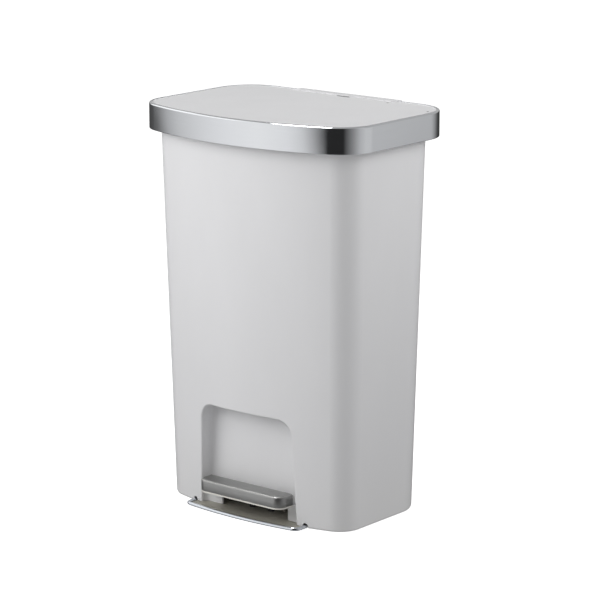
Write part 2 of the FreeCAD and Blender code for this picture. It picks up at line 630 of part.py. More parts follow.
def lock_slider():
    stem = box(LOCK_X - 5, LOCK_X + 5, 137.3, 140.7, 608.5, 631)
    head = box(LOCK_X - 5, LOCK_X + 5, 135.0, 140.7, 628.4, 631)
    sole = box(LOCK_X - 5, LOCK_X + 5, 137.3, 148.2, 608.5, 611.5)
    tongue = box(LOCK_X - 11, LOCK_X - 4, 137.3, 140.7, 608.7, 611.8)
    tab = box(LOCK_X - 2, LOCK_X + 2, 142.5, 148.8, 605.5, 612)
    return joined([stem, head, sole, tongue, tab])


def export(name, shape):
    if not shape.isValid():
        raise ValueError("the solid is not valid: " + name)
    shape.exportStep("parts/" + name + ".step")


def main():
    os.makedirs("parts", exist_ok=True)
    parts = {
        "outer_body": outer_body(),
        "base_plate": base_plate(),
        "base_screws": base_screws(),
        "floor_bar": floor_bar(),
        "hinge_bracket": hinge_bracket(),
        "hinge_bracket_screws": hinge_bracket_screws(),
        "hinge_pin": hinge_pin(),
        "rod_channel_cover": rod_channel_cover(),
        "channel_screws": channel_screws(),
        "rod_guide_lower": rod_guide(75),
        "rod_guide_upper": rod_guide(545),
        "push_rod": push_rod(),
        "rod_foot": rod_foot(),
        "rod_head": rod_head(),
        "pedal_cap": pedal_cap(),
        "pedal_base": pedal_base(),
        "pedal_lever": pedal_lever(),
        "pedal_screws": pedal_screws(),
        "pedal_axle": pedal_axle(),
        "lever_nose_pad": lever_nose_pad(),
        "lid_rim_band": lid_rim_band(),
        "lid_panel": lid_panel(),
        "lid_inner_frame": lid_inner_frame(),
        "lid_screws": lid_screws(),
        "hinge_cover": hinge_cover(),
        "cover_screws": cover_screws(),
        "crank_pin": crank_pin(),
        "lid_badge": lid_badge(),
        "lid_plug_rear": lid_plug(100.6, 123.5),
        "lid_plug_side": lid_plug(204.0, 93.0),
        "lock_slider": lock_slider(),
    }
    for name, side in (("left", -1), ("right", 1)):
        parts["floor_bar_clip_" + name] = floor_bar_clip(side)
        parts["hinge_bush_" + name] = hinge_bush(side)
        parts["pedal_bush_" + name] = pedal_bush(side)
        parts["pedal_stop_pad_" + name] = pedal_stop_pad(side)
        parts["lid_bumper_side_" + name] = lid_bumper(side * 201.7, 0)
        parts["lid_bumper_front_" + name] = lid_bumper(side * 60, -136.6)
        for end, (x, y) in zip(("rear", "front"), FEET):
            parts["rubber_foot_" + end + "_" + name] = rubber_foot(side * x, y)
    for name, shape in parts.items():
        export(name, shape)


main()
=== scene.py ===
import json
import math

import bmesh
import bpy
import numpy
from mathutils import Matrix, Vector

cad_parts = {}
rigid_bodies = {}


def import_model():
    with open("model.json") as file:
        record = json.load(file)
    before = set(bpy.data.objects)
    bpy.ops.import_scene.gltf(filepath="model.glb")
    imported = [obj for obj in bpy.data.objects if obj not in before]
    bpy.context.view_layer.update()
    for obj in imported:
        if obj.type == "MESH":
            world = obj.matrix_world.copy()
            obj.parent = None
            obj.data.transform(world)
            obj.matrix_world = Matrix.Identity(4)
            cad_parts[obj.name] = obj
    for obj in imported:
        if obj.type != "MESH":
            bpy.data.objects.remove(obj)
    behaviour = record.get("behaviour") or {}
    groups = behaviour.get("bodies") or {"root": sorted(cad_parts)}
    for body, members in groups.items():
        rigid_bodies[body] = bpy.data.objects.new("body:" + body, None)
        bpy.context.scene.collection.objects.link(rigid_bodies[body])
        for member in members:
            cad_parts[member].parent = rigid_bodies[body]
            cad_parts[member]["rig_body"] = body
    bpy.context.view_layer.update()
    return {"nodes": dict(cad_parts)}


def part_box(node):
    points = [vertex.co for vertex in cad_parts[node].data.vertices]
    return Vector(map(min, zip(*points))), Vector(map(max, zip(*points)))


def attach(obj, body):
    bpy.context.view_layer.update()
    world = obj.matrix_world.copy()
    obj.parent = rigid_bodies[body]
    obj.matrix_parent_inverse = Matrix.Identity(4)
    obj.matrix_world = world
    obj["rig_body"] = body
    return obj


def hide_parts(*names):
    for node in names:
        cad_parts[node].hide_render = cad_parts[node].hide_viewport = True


bl_info = {
    "name": "Pedal Trash Can",
    "version": (1, 0, 0),
    "blender": (4, 5, 0),
    "location": "3D View > Sidebar > Pedal Can",
    "description": "Finishes for a steel-rimmed pedal trash can, and the studio that it stands in",
    "category": "Object",
}

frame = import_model()
NODES = frame["nodes"]

MM = 0.001

# The lid's outline, the same all the way up: half width, front, back, depth of the bow, corner radii.
LID_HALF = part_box("lid_rim_band")[1].x
LID_FRONT = -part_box("lid_rim_band")[0].y
LID_BACK = 149 * MM
LID_BOW_DEPTH = 47 * MM
LID_FRONT_CORNER = 64 * MM
LID_REAR_CORNER = 70 * MM
RIM_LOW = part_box("lid_rim_band")[0].z
RIM_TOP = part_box("lid_rim_band")[1].z
COVER_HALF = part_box("hinge_cover")[1].x

# The pedal's steel skin: its box, its corner radii, and the notch that clears the lever.
PEDAL_LOW, PEDAL_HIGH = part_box("pedal_cap")
PEDAL_FRONT_CORNER = 17 * MM
PEDAL_REAR_CORNER = 3.5 * MM
LEVER_HALF = 36 * MM
LEVER_TOP = 41.5 * MM


# ---------------------------------------------------------------- settings that a user would change


def colour(name, text, default):
    """A colour setting."""
    return bpy.props.FloatVectorProperty(
        name=name, description=text, default=default, size=3, min=0.0, max=1.0, subtype="COLOR")


def share(name, text, default):
    """A setting from 0 to 1."""
    return bpy.props.FloatProperty(
        name=name, description=text, default=default, min=0.0, max=1.0, subtype="FACTOR")


def length(name, text, default, top):
    """A length setting, in metres, up to a largest value."""
    return bpy.props.FloatProperty(
        name=name, description=text, default=default, min=0.0, max=top, precision=5,
        subtype="DISTANCE", unit="LENGTH")


class CanColours(bpy.types.PropertyGroup):
    """Colours of the moulded, pressed and painted pieces"""

    body: colour("Body", "Satin white of the tapered body", (0.79, 0.79, 0.803))
    lid: colour("Lid", "Satin white of the lid and the hinge cover", (0.80, 0.80, 0.812))
    steel: colour("Rim steel", "Polished steel band round the lid", (0.74, 0.755, 0.775))
    pedal: colour("Pedal steel", "Brushed steel skin of the pedal", (0.365, 0.365, 0.36))
    wire: colour("Bar chrome", "Bright plated floor bar", (0.62, 0.65, 0.69))
    base: colour("Base plate", "Warm grey plastic of the base plate", (0.37, 0.355, 0.31))
    tread: colour("Pedal base", "Cream plastic under the pedal's steel skin", (0.78, 0.765, 0.71))
    nylon: colour("Nylon", "Natural nylon bushes, guides and pads", (0.70, 0.68, 0.60))
    rubber: colour("Rubber", "Dark rubber feet, bumpers and stops", (0.035, 0.035, 0.037))
    zinc: colour("Zinc", "Zinc plated brackets, lever and screws", (0.58, 0.59, 0.60))
    badge: colour("Badge", "Grey of the blank badge and the plugs", (0.23, 0.235, 0.24))


class CanSizes(bpy.types.PropertyGroup):
    """Small sizes of the finish"""

    rim_radius: length("Rim roll", "Radius of the steel band's rolled top edge", 3.2 * MM, 0.01)
    rim_steel: length("Rim steel", "Thickness of the steel band", 0.8 * MM, 0.003)
    pedal_radius: length("Pedal roll", "Radius of the pedal skin's top edge", 4.4 * MM, 0.0045)
    thread: length("Thread pitch", "Distance between the turns of the screw threads", 1.3 * MM, 0.005)
    hem: length("Rim hem", "Height of the band's turned-in lower hem", 6.0 * MM, 0.02)
    soft_edge: length("Soft edge", "Rounding of moulded edges", 0.45 * MM, 0.003)
    crisp_edge: length("Crisp edge", "Rounding of pressed metal edges", 0.25 * MM, 0.003)
    grain: length("Grain", "Size of the fine grain in the moulded skin", 0.9 * MM, 0.01)
    brushing: length("Brushing", "Spacing of the pedal's brush marks", 0.35 * MM, 0.01)
    body_gloss: share("Body roughness", "Roughness of the satin white body", 0.36)
    rim_gloss: share("Rim roughness", "Roughness of the polished band", 0.075)


class StudioSettings(bpy.types.PropertyGroup):
    """Camera and light"""

    camera_from: bpy.props.FloatVectorProperty(
        name="Camera place", description="Where the camera stands", default=(2.7526, -3.3433, 1.3468),
        size=3, subtype="TRANSLATION", unit="LENGTH")
    camera_towards: bpy.props.FloatVectorProperty(
        name="Camera direction", description="Direction that the camera looks in",
        default=(-0.6165, 0.7540, -0.2265), size=3, subtype="DIRECTION")
    lens: bpy.props.FloatProperty(
        name="Lens", description="Focal length of the camera", default=163.78, min=20.0, max=300.0,
        unit="CAMERA")
    front_light: bpy.props.FloatProperty(
        name="Front light", description="Power of the soft light at the front left", default=10.3,
        min=0.0, unit="POWER")
    side_light: bpy.props.FloatProperty(
        name="Side light", description="Power of the soft light at the right", default=4.3,
        min=0.0, unit="POWER")
    top_light: bpy.props.FloatProperty(
        name="Top light", description="Power of the soft light overhead", default=2.1,
        min=0.0, unit="POWER")
    recess_light: bpy.props.FloatProperty(
        name="Recess light", description="Power of the low soft light that reaches into the recess",
        default=1.5, min=0.0, unit="POWER")
    fill: share("Fill", "Brightness of the light that comes from all round", 0.385)
    sky: share("Overhead glow", "Brightness of what polished edges see overhead", 0.5)
    floor: colour("Floor", "Pale floor", (0.93, 0.93, 0.93))


def colours():
    """The colour settings of the open scene."""
    return bpy.context.scene.can_colours


def sizes():
    """The size settings of the open scene."""
    return bpy.context.scene.can_sizes


def studio():
    """The camera and light settings of the open scene."""
    return bpy.context.scene.can_studio


# ---------------------------------------------------------------- finishes


class Finish:
    """A material being made: its shader, its object coordinates and its nodes."""

    def __init__(self, name):
        self.material = bpy.data.materials.new(name)
        self.material.use_nodes = True
        self.tree = self.material.node_tree
        self.shader = self.tree.nodes["Principled BSDF"]
        self.place = self.node("ShaderNodeTexCoord").outputs["Object"]

    def node(self, kind, **settings):
        """Adds a shader node with the settings given."""
        made = self.tree.nodes.new(kind)
        for key, value in settings.items():
            setattr(made, key, value)
        return made

    def link(self, output, socket):
        self.tree.links.new(output, socket)
        return socket

    def set(self, **values):
        """Sets the shader's own values; an underscore stands for a space in a name."""
        for name, value in values.items():
            self.shader.inputs[name.replace("_", " ")].default_value = value

    def noise(self, scale, detail=3.0, stretch=(1.0, 1.0, 1.0), roughness=0.55):
        """Noise whose features are 1 / scale metres, stretched by direction."""
        mapping = self.node("ShaderNodeMapping")
        mapping.inputs["Scale"].default_value = [scale * s for s in stretch]
        self.link(self.place, mapping.inputs["Vector"])
        made = self.node("ShaderNodeTexNoise")
        made.inputs["Scale"].default_value = 1.0
        made.inputs["Detail"].default_value = detail
        made.inputs["Roughness"].default_value = roughness
        self.link(mapping.outputs["Vector"], made.inputs["Vector"])
        return made.outputs["Fac"]

    def spread(self, value, low, high, to_low, to_high):
        """Maps a value from one range to another."""
        made = self.node("ShaderNodeMapRange")
        for name, number in (("From Min", low), ("From Max", high), ("To Min", to_low), ("To Max", to_high)):
            made.inputs[name].default_value = number
        self.link(value, made.inputs["Value"])
        return made.outputs["Result"]

    def mix(self, factor, first, second):
        """Blends two colours, each a constant or a node's output."""
        made = self.node("ShaderNodeMix", data_type="RGBA")
        self.link(factor, made.inputs["Factor"])
        for socket, value in ((made.inputs["A"], first), (made.inputs["B"], second)):
            if isinstance(value, bpy.types.NodeSocket):
                self.link(value, socket)
            else:
                socket.default_value = (*value, 1.0)
        return made.outputs["Result"]

    def tint(self, base, factor, darker):
        """The base colour, a little darker where the factor is high."""
        return self.mix(factor, base, [c * darker for c in base])

    def bumps(self, *layers):
        """Stacks (height, depth in metres, strength) layers of relief."""
        last = None
        for height, depth, strength in layers:
            made = self.node("ShaderNodeBump")
            made.inputs["Distance"].default_value = depth
            made.inputs["Strength"].default_value = strength
            self.link(height, made.inputs["Height"])
            if last:
                self.link(last, made.inputs["Normal"])
            last = made.outputs["Normal"]
        self.link(last, self.shader.inputs["Normal"])

    def height_above_floor(self):
        split = self.node("ShaderNodeSeparateXYZ")
        self.link(self.place, split.inputs["Vector"])
        return split.outputs["Z"]

    def base(self, output):
        self.link(output, self.shader.inputs["Base Color"])

    def roughness(self, output):
        self.link(output, self.shader.inputs["Roughness"])


def satin_plastic(name, base, roughness, dusty=True):
    """Moulded plastic with a fine grain, faint flow marks and a little handling wear."""
    f = Finish(name)
    base = tuple(base)
    grain = f.noise(1.0 / sizes().grain, 2.0)
    flow = f.noise(9.0, 4.0, (1.0, 1.0, 0.35))
    scuffs = f.spread(f.noise(55.0, 8.0, (1.0, 1.0, 2.2), 0.7), 0.60, 0.74, 0.0, 1.0)
    shade = f.tint(base, f.spread(flow, 0.35, 0.65, 0.0, 1.0), 0.975)
    if dusty:
        low = f.spread(f.height_above_floor(), 0.0, 0.12, 0.55, 0.0)
        shade = f.mix(low, shade, (base[0] * 0.95, base[1] * 0.945, base[2] * 0.925))
    f.base(shade)
    worn = f.node("ShaderNodeMath", operation="MULTIPLY_ADD")
    worn.inputs[1].default_value = 0.07
    f.link(scuffs, worn.inputs[0])
    f.link(f.spread(flow, 0.3, 0.7, roughness - 0.03, roughness + 0.04), worn.inputs[2])
    f.roughness(worn.outputs["Value"])
    f.bumps((grain, 0.00004, 0.55), (f.noise(70.0, 2.0), 0.00010, 0.25))
    f.set(IOR=1.48, Coat_Weight=0.12, Coat_Roughness=0.18)
    return f.material


def polished_steel(name, base):
    """Bright rolled band: hair-fine marks along its length, with a few faint smears."""
    f = Finish(name)
    base = tuple(base)
    marks = f.noise(1.0, 6.0, (14.0, 14.0, 2600.0), 0.7)
    smears = f.noise(16.0, 5.0, (1.0, 1.0, 3.0))
    f.base(f.tint(base, f.spread(marks, 0.35, 0.7, 0.0, 1.0), 0.94))
    f.roughness(f.spread(smears, 0.35, 0.7, sizes().rim_gloss, sizes().rim_gloss + 0.06))
    f.bumps((marks, 0.000004, 0.35))
    f.set(Metallic=1.0)
    return f.material


def brushed_steel(name, base):
    """Pressed steel brushed from side to side, rubbed brighter where shoes land."""
    f = Finish(name)
    base = tuple(base)
    lines = f.noise(1.0 / sizes().brushing, 5.0, (0.012, 1.0, 1.0), 0.75)
    rubbed = f.noise(28.0, 3.0, (0.6, 1.0, 1.0))
    lined = f.tint(base, f.spread(lines, 0.3, 0.7, 0.0, 1.0), 0.70)
    f.base(f.mix(f.spread(rubbed, 0.45, 0.75, 0.0, 0.35), lined, [min(1.0, c * 1.18) for c in base]))
    f.roughness(f.spread(lines, 0.3, 0.7, 0.34, 0.50))
    f.bumps((lines, 0.00003, 0.6))
    f.set(Metallic=1.0)
    return f.material


def bright_wire(name, base):
    """Plated wire with a slight ripple and a few dull specks."""
    f = Finish(name)
    specks = f.spread(f.noise(900.0, 2.0), 0.66, 0.72, 0.0, 1.0)
    f.base(f.tint(tuple(base), specks, 0.72))
    f.roughness(f.spread(f.noise(120.0, 3.0), 0.3, 0.7, 0.06, 0.13))
    f.bumps((f.noise(240.0, 2.0), 0.00003, 0.3))
    f.set(Metallic=1.0)
    return f.material


def zinc_plate(name, base):
    """Passivated zinc with cloudy patches and fine pits."""
    f = Finish(name)
    cells = f.node("ShaderNodeTexVoronoi")
    cells.inputs["Scale"].default_value = 260.0
    f.link(f.place, cells.inputs["Vector"])
    clouds = f.noise(45.0, 5.0)
    patch = f.tint(tuple(base), f.spread(cells.outputs["Distance"], 0.0, 0.8, 0.0, 1.0), 0.88)
    f.base(f.mix(f.spread(clouds, 0.4, 0.65, 0.0, 0.5), patch, (0.60, 0.585, 0.52)))
    f.roughness(f.spread(clouds, 0.3, 0.7, 0.30, 0.46))
    f.bumps((f.noise(1500.0, 2.0), 0.00002, 0.4))
    f.set(Metallic=1.0)
    return f.material


def drawn_rod(name):
    """Cold-drawn steel with lines along it and a trace of grease."""
    f = Finish(name)
    lines = f.noise(1.0, 4.0, (2400.0, 2400.0, 30.0), 0.7)
    f.base(f.tint((0.50, 0.50, 0.50), f.spread(lines, 0.3, 0.7, 0.0, 1.0), 0.82))
    f.roughness(f.spread(f.noise(60.0, 4.0), 0.35, 0.65, 0.20, 0.36))
    f.bumps((lines, 0.00001, 0.4))
    f.set(Metallic=1.0)
    return f.material


def natural_nylon(name, base):
    """Milky moulded nylon, slightly waxy."""
    f = Finish(name)
    clouds = f.noise(60.0, 4.0)
    f.base(f.tint(tuple(base), f.spread(clouds, 0.35, 0.65, 0.0, 1.0), 0.93))
    f.roughness(f.spread(clouds, 0.3, 0.7, 0.34, 0.48))
    f.bumps((f.noise(1400.0, 2.0), 0.00002, 0.5))
    f.set(IOR=1.53, Subsurface_Weight=0.12, Subsurface_Scale=0.002)
    return f.material


def dull_rubber(name, base):
    """Moulded rubber with a bloom of dust."""
    f = Finish(name)
    dust = f.noise(140.0, 6.0)
    f.base(f.mix(f.spread(dust, 0.45, 0.75, 0.0, 0.5), tuple(base), (0.11, 0.108, 0.102)))
    f.roughness(f.spread(dust, 0.3, 0.7, 0.66, 0.88))
    f.bumps((f.noise(2200.0, 3.0), 0.00005, 0.6))
    f.set(IOR=1.52)
    return f.material


def cast_badge(name, base):
    """Satin grey badge with a fine bead-blasted skin."""
    f = Finish(name)
    beads = f.noise(3200.0, 2.0)
    f.base(f.tint(tuple(base), f.spread(beads, 0.35, 0.65, 0.0, 1.0), 0.90))
    f.roughness(f.spread(f.noise(90.0, 3.0), 0.3, 0.7, 0.30, 0.42))
    f.bumps((beads, 0.00002, 0.6))
    f.set(Metallic=0.65)
    return f.material


FINISHES = {
    "body_white": lambda: satin_plastic("satin white body", colours().body, sizes().body_gloss),
    "lid_white": lambda: satin_plastic("satin white lid", colours().lid, sizes().body_gloss, False),
    "grey_plastic": lambda: satin_plastic("warm grey base plastic", colours().base, 0.48),
    "cream_plastic": lambda: satin_plastic("cream pedal plastic", colours().tread, 0.44, False),
    "polished_steel": lambda: polished_steel("polished rim steel", colours().steel),
    "brushed_steel": lambda: brushed_steel("brushed pedal steel", colours().pedal),
    "chrome_wire": lambda: bright_wire("bright floor bar wire", colours().wire),
    "zinc_steel": lambda: zinc_plate("zinc plated steel", colours().zinc),
    "steel_rod": lambda: drawn_rod("drawn steel rod"),
    "nylon": lambda: natural_nylon("natural nylon", colours().nylon),
    "soft_rubber": lambda: dull_rubber("dark rubber", colours().rubber),
    "badge_grey": lambda: cast_badge("satin grey badge", colours().badge),
}
made_finishes = {}


def finish_of(slot):
    """The finish for one of the record's material slots, made the first time it is asked for."""
    if slot not in made_finishes:
        made_finishes[slot] = FINISHES[slot]()
    return made_finishes[slot]


# ---------------------------------------------------------------- dressing the CAD pieces


def dress(name, slot, edge=0.0):
    """Gives a CAD piece its finish and, if asked, a rounded edge."""
    piece = NODES[name]
    for place in piece.material_slots:
        place.link = "OBJECT"
        place.material = finish_of(slot)
    if edge:
        weld = piece.modifiers.new("weld", "WELD")
        weld.merge_threshold = 0.000002
        soften = piece.modifiers.new("edge", "BEVEL")
        soften.width = edge
        soften.segments = 2
        soften.limit_method = "ANGLE"
        soften.angle_limit = math.radians(40)
        soften.harden_normals = False
        level = piece.modifiers.new("level", "WEIGHTED_NORMAL")
        level.keep_sharp = False
    return piece


# ---------------------------------------------------------------- making pieces


def new_piece(name, shape, slot, body, sharp=35.0):
    """Turns a bmesh into a piece with a finish that rides on one CAD body."""
    bmesh.ops.recalc_face_normals(shape, faces=shape.faces)
    mesh = bpy.data.meshes.new(name)
    shape.to_mesh(mesh)
    shape.free()
    mesh.shade_smooth()
    mesh.set_sharp_from_angle(angle=math.radians(sharp))
    piece = bpy.data.objects.new(name, mesh)
    bpy.context.scene.collection.objects.link(piece)
    mesh.materials.append(finish_of(slot))
    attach(piece, body)
    return piece


def arc(centre, radius, start, end, steps):
    """(point, outward normal) pairs along an arc, angles in degrees from +X."""
    pairs = []
    for i in range(steps + 1):
        turn = math.radians(start + (end - start) * i / steps)
        way = Vector((math.cos(turn), math.sin(turn)))
        pairs.append((Vector(centre) + way * radius, way))
    return pairs


def lid_outline(steps):
    """The lid's outline from the middle of the back round the right side, front and left side."""
    bow = (LID_HALF ** 2 + LID_BOW_DEPTH ** 2) / (2 * LID_BOW_DEPTH)
    bow_y = bow - LID_FRONT
    front_x = LID_HALF - LID_FRONT_CORNER
    front_y = bow_y - math.sqrt((bow - LID_FRONT_CORNER) ** 2 - front_x ** 2)
    half_bow = math.degrees(math.atan2(front_x, bow_y - front_y))
    rear_x = LID_HALF - LID_REAR_CORNER
    rear_y = LID_BACK - LID_REAR_CORNER
    right = arc((rear_x, rear_y), LID_REAR_CORNER, 90, 0, steps)
    right += arc((front_x, front_y), LID_FRONT_CORNER, 0, half_bow - 90, steps)
    right += arc((0, bow_y), bow, half_bow - 90, -90, steps)[1:]
    left = [(Vector((-p.x, p.y)), Vector((-n.x, n.y))) for p, n in reversed(right[:-1])]
    return right + left


def join_rings(shape, rings):
    """Faces between each ring of points and the next."""
    for first, second in zip(rings, rings[1:]):
        for i in range(len(first)):
            j = (i + 1) % len(first)
            shape.faces.new((first[i], first[j], second[j], second[i]))


def sweep(outline, profile):
    """A closed band: each (inset, height) of the profile is carried round the outline."""
    shape = bmesh.new()
    rings = []
    for point, normal in outline:
        rings.append([shape.verts.new((*(point - normal * inset), z)) for inset, z in profile])
    join_rings(shape, rings)
    shape.faces.new(rings[0])
    shape.faces.new(rings[-1])
    return shape


def corner(centre_inset, centre_z, radius, start, end, steps=6):
    """Profile points round a corner; 0 degrees points outwards and 90 up."""
    points = []
    for i in range(steps + 1):
        turn = math.radians(start + (end - start) * i / steps)
        points.append((centre_inset - radius * math.cos(turn), centre_z + radius * math.sin(turn)))
    return points


def rim_profile():
    """Section of the steel band: hem, upright, rolled top edge and inward flange."""
    roll = sizes().rim_radius
    steel = sizes().rim_steel
    hem = sizes().hem
    fold = 2 * steel
    turn = (fold + steel) / 2
    flange = 4.6 * MM
    outside = corner(turn, RIM_LOW + turn, turn, -90, 0)
    outside += corner(roll, RIM_TOP - roll, roll, 0, 90, 8)
    outside += [(flange, RIM_TOP), (flange, RIM_TOP - steel)]
    inside = corner(roll, RIM_TOP - roll, roll - steel, 90, 0, 8)
    inside += [(steel, RIM_LOW + 2 * fold)]
    inside += [(fold + steel, RIM_LOW + hem), (fold + 2 * steel, RIM_LOW + hem)]
    inside += [(fold + 2 * steel, RIM_LOW + 0.5 * fold)]
    return outside + inside


def make_rim():
    """The polished band, open at the back for the hinge cover."""
    gap = COVER_HALF + 0.3 * MM
    outline = lid_outline(36)
    start = (Vector((gap, LID_BACK)), Vector((0, 1)))
    end = (Vector((-gap, LID_BACK)), Vector((0, 1)))
    band = sweep([start] + outline + [end], rim_profile())
    piece = new_piece("steel_rim", band, "polished_steel", "lid")
    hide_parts("lid_rim_band")
    return piece


def pedal_ring(shape, inset, z):
    """A ring of points round the pedal at one height, moved in by an inset and lifted over the lever."""
    back = PEDAL_HIGH.y - inset
    big = PEDAL_FRONT_CORNER - inset
    small = max(PEDAL_REAR_CORNER - inset, 0.05 * MM)
    half = PEDAL_HIGH.x - inset
    right = [Vector((x, back)) for x in (0, LEVER_HALF - 0.05 * MM, LEVER_HALF + 0.05 * MM)]
    right += [p for p, n in arc((half - small, back - small), small, 90, 0, 4)]
    right += [p for p, n in arc((half - big, PEDAL_LOW.y + inset + big), big, 0, -90, 14)]
    left = [Vector((-p.x, p.y)) for p in reversed(right[1:])]
    ring = []
    for point in right + left:
        notched = abs(point.x) < LEVER_HALF and point.y > back - MM
        ring.append(shape.verts.new((point.x, point.y, max(z, LEVER_TOP) if notched else z)))
    return ring


def make_pedal_skin():
    """The pedal's steel skin: a hemmed lower edge, a well rounded top edge and a slightly crowned top."""
    roll = sizes().pedal_radius
    low = PEDAL_LOW.z
    shoulder = PEDAL_HIGH.z - 0.4 * MM
    steel = 1.1 * MM
    hem = low + 0.3 * MM
    ceiling = PEDAL_HIGH.z - 1.2 * MM
    profile = [(16.8 * MM, ceiling), (4.6 * MM, ceiling), (1.9 * MM, ceiling - 0.9 * MM)]
    profile += [(steel, ceiling - 2.4 * MM), (steel, hem), (0.8 * MM, low), (0.3 * MM, low), (0, hem)]
    profile += corner(roll, shoulder - roll, roll, 0, 84, 10)
    profile += [(8 * MM, shoulder + 0.17 * MM), (12 * MM, shoulder + 0.33 * MM), (16.9 * MM, PEDAL_HIGH.z)]
    shape = bmesh.new()
    rings = [pedal_ring(shape, inset, z) for inset, z in profile]
    join_rings(shape, rings)
    shape.faces.new(rings[0])
    shape.faces.new(rings[-1])
    piece = new_piece("pedal_skin", shape, "brushed_steel", "pedal", 50.0)
    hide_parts("pedal_cap")
    return piece


# ---------------------------------------------------------------- screws


def loose_parts(mesh, world):
    """The points of each separate part of a mesh, as one array per part."""
    shape = bmesh.new()
    shape.from_mesh(mesh)
    bmesh.ops.remove_doubles(shape, verts=shape.verts, dist=0.002 * MM)
    found = set()
    parts = []
    for start in shape.verts:
        if start in found:
            continue
        found.add(start)
        waiting = [start]
        part = []
        while waiting:
            point = waiting.pop()
            part.append(list(world @ point.co))
            others = [edge.other_vert(point) for edge in point.link_edges]
            waiting += [other for other in others if other not in found]
            found.update(others)
        parts.append(numpy.array(part))
    shape.free()
    return parts


def screw_sizes(points):
    """Where a screw stands and how big it is, read off the points of its plain shape."""
    middle = (points.min(axis=0) + points.max(axis=0)) / 2
    ways = numpy.linalg.eigh(numpy.cov((points - middle).T))[1]
    along = Vector(ways[:, -1].tolist()).normalized()
    if max(along, key=abs) < 0:
        along = -along
    turn = along.to_track_quat("Z", "Y").to_matrix()
    local = (points - middle) @ numpy.array(turn)
    centre = (local.min(axis=0) + local.max(axis=0)) / 2
    local = local - centre
    reach = numpy.hypot(local[:, 0], local[:, 1])
    if local[reach > 0.9 * reach.max(), 2].mean() < 0:
        turn = turn @ Matrix.Rotation(math.pi, 3, "X")
        local = local * numpy.array([1.0, -1.0, -1.0])
        centre = centre * numpy.array([1.0, -1.0, -1.0])
    place = Matrix.Translation(middle.tolist()) @ turn.to_4x4() @ Matrix.Translation(centre.tolist())
    head = float(reach.max())
    under = float(local[reach > 0.9 * head, 2].min())
    shank = float(reach[local[:, 2] < under - 0.0005].max())
    return place, head, shank, float(local[:, 2].min()), under, float(local[:, 2].max())


def add_screw(shape, place, head, shank, tip, under, top):
    """A pan head screw with a cross recess and a cut thread."""
    count = 24

    def ring(radii, z):
        """Points round the screw at one height, with one radius or a radius for each point."""
        points = []
        for i in range(count):
            turn = 2 * math.pi * i / count
            radius = radii[i] if isinstance(radii, list) else radii
            spot = Vector((radius * math.cos(turn), radius * math.sin(turn), z))
            points.append(shape.verts.new(place @ spot))
        return points

    pitch = min(sizes().thread, (under - tip) / 4)
    rows = int((under - tip) / pitch * 4)
    rings = []
    for row in range(rows):
        z = tip + (under - tip) * row / rows
        taper = min(1.0, 0.35 + 0.65 * (z - tip) / (1.6 * shank))
        waves = [abs(2 * (((z - tip) / pitch - i / count) % 1.0) - 1) for i in range(count)]
        rings.append(ring([shank * taper * (1.0 - 0.24 * wave) for wave in waves], z))
    shape.faces.new(rings[0])
    height = top - under
    rings += [ring(shank * 0.8, under), ring(head, under), ring(head, under + 0.35 * height)]
    rings += [ring(head * 0.955, under + 0.66 * height), ring(head * 0.84, under + 0.88 * height)]
    rings.append(ring(head * 0.66, top))
    join_rings(shape, rings)
    arm = 0.46 * head
    slot = 0.12 * head
    plan = [(arm, -slot), (arm, slot), (slot, slot), (slot, arm), (-slot, arm), (-slot, slot),
            (-arm, slot), (-arm, -slot), (-slot, -slot), (-slot, -arm), (slot, -arm), (slot, -slot)]
    mouth = [shape.verts.new(place @ Vector((x, y, top))) for x, y in plan]
    floor = [shape.verts.new(place @ Vector((0.72 * x, 0.72 * y, top - 0.6 * height))) for x, y in plan]
    join_rings(shape, [mouth, floor])
    shape.faces.new(floor)
    rim = [shape.edges.get((rings[-1][i], rings[-1][i - 1])) for i in range(count)]
    rim += [shape.edges.get((mouth[i], mouth[i - 1])) for i in range(len(mouth))]
    bmesh.ops.triangle_fill(shape, use_beauty=True, use_dissolve=False, edges=rim)


def make_screws(name):
    """Threaded screws with cross recesses in place of one group of plain ones."""
    plain = NODES[name]
    shape = bmesh.new()
    for points in loose_parts(plain.data, plain.matrix_world):
        add_screw(shape, *screw_sizes(points))
    threaded = name.replace("_screws", "_threaded_screws")
    piece = new_piece(threaded, shape, "zinc_steel", plain["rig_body"], 38.0)
    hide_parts(name)
    return piece


# ---------------------------------------------------------------- operators


class CAN_OT_body(bpy.types.Operator):
    """Finish the tapered body and the channel cover inside it"""

    bl_idname = "pedal_can.body"
    bl_label = "Body"
    bl_options = {"REGISTER", "UNDO"}

    def execute(self, context):
        dress("outer_body", "body_white")
        dress("rod_channel_cover", "body_white", sizes().soft_edge)
        return {"FINISHED"}


class CAN_OT_lid(bpy.types.Operator):
    """Finish the lid panel, its badge and plugs, and make the steel rim"""

    bl_idname = "pedal_can.lid"
    bl_label = "Lid"
    bl_options = {"REGISTER", "UNDO"}

    def execute(self, context):
        dress("lid_panel", "lid_white")
        make_rim()
        for name in ("lid_badge", "lid_plug_rear", "lid_plug_side"):
            dress(name, "badge_grey")
        return {"FINISHED"}


class CAN_OT_lid_inside(bpy.types.Operator):
    """Finish the frame, bumpers and lock slider under the lid"""

    bl_idname = "pedal_can.lid_inside"
    bl_label = "Lid inside"
    bl_options = {"REGISTER", "UNDO"}

    def execute(self, context):
        dress("lid_inner_frame", "lid_white", sizes().soft_edge)
        dress("lock_slider", "lid_white", sizes().soft_edge)
        for end in ("front_left", "front_right", "side_left", "side_right"):
            dress("lid_bumper_" + end, "soft_rubber")
        return {"FINISHED"}


